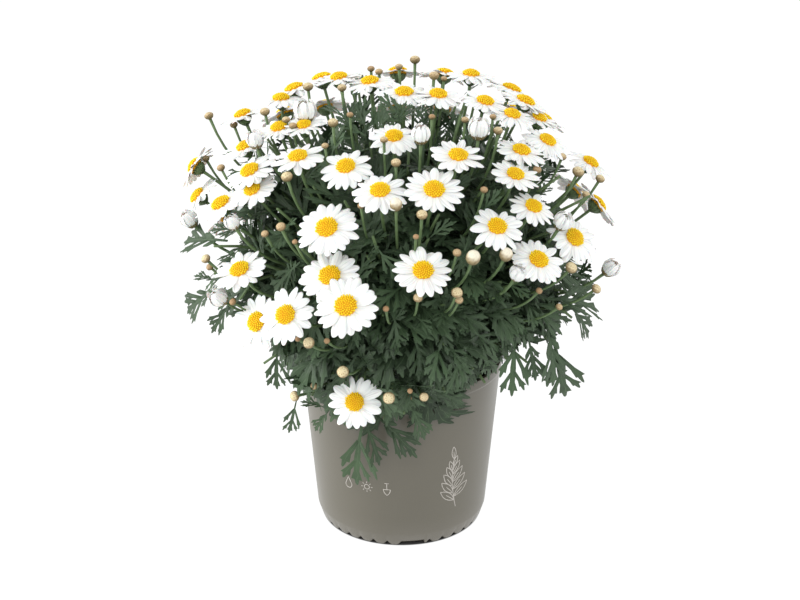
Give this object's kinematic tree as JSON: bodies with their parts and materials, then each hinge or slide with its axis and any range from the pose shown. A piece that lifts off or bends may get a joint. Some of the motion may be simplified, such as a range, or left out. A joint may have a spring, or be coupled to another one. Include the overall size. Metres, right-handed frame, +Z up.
{
  "type": "potted marguerite daisy",
  "caption": "Bushy marguerite daisy with white rays, yellow discs and cut blue-green leaves, in a grey-brown nursery pot.",
  "frame": {"origin": "middle of the pot's base, on the surface that it stands on", "axes": "+Z up through the bush, -Y towards the side with the lowest bloom"},
  "size_m": [0.2995, 0.3129, 0.3327],
  "materials": {
    "pot_plastic": "satin",
    "peat": "rough",
    "leaf_green": "satin",
    "ray_white": "matte",
    "disc_yellow": "matte"
  },
  "bodies": {
    "root": {"pot": "pot_plastic", "soil": "peat", "leafy_stem_1": "leaf_green", "leafy_stem_2": "leaf_green", "leafy_stem_3": "leaf_green", "leafy_stem_4": "leaf_green", "leafy_stem_5": "leaf_green", "leafy_stem_6": "leaf_green", "leafy_stem_7": "leaf_green", "rays_1": "ray_white", "rays_2": "ray_white", "rays_3": "ray_white", "rays_5": "ray_white", "rays_6": "ray_white", "rays_7": "ray_white", "rays_8": "ray_white", "rays_9": "ray_white", "rays_10": "ray_white", "rays_12": "ray_white", "rays_13": "ray_white", "rays_14": "ray_white", "rays_15": "ray_white", "rays_16": "ray_white", "rays_17": "ray_white", "rays_18": "ray_white", "rays_19": "ray_white", "rays_20": "ray_white", "rays_21": "ray_white", "rays_22": "ray_white", "rays_23": "ray_white", "rays_25": "ray_white", "rays_26": "ray_white", "rays_27": "ray_white", "rays_28": "ray_white", "rays_29": "ray_white", "rays_30": "ray_white", "rays_31": "ray_white", "rays_32": "ray_white", "rays_35": "ray_white", "rays_36": "ray_white", "rays_37": "ray_white", "rays_40": "ray_white", "rays_41": "ray_white", "rays_42": "ray_white", "rays_43": "ray_white", "rays_45": "ray_white", "rays_46": "ray_white", "rays_47": "ray_white", "rays_48": "ray_white", "rays_49": "ray_white", "rays_50": "ray_white", "rays_51": "ray_white", "rays_53": "ray_white", "rays_55": "ray_white", "rays_56": "ray_white", "rays_58": "ray_white", "disc_2": "disc_yellow", "disc_5": "disc_yellow", "disc_13": "disc_yellow", "disc_15": "disc_yellow"}
  },
  "joints": []
}
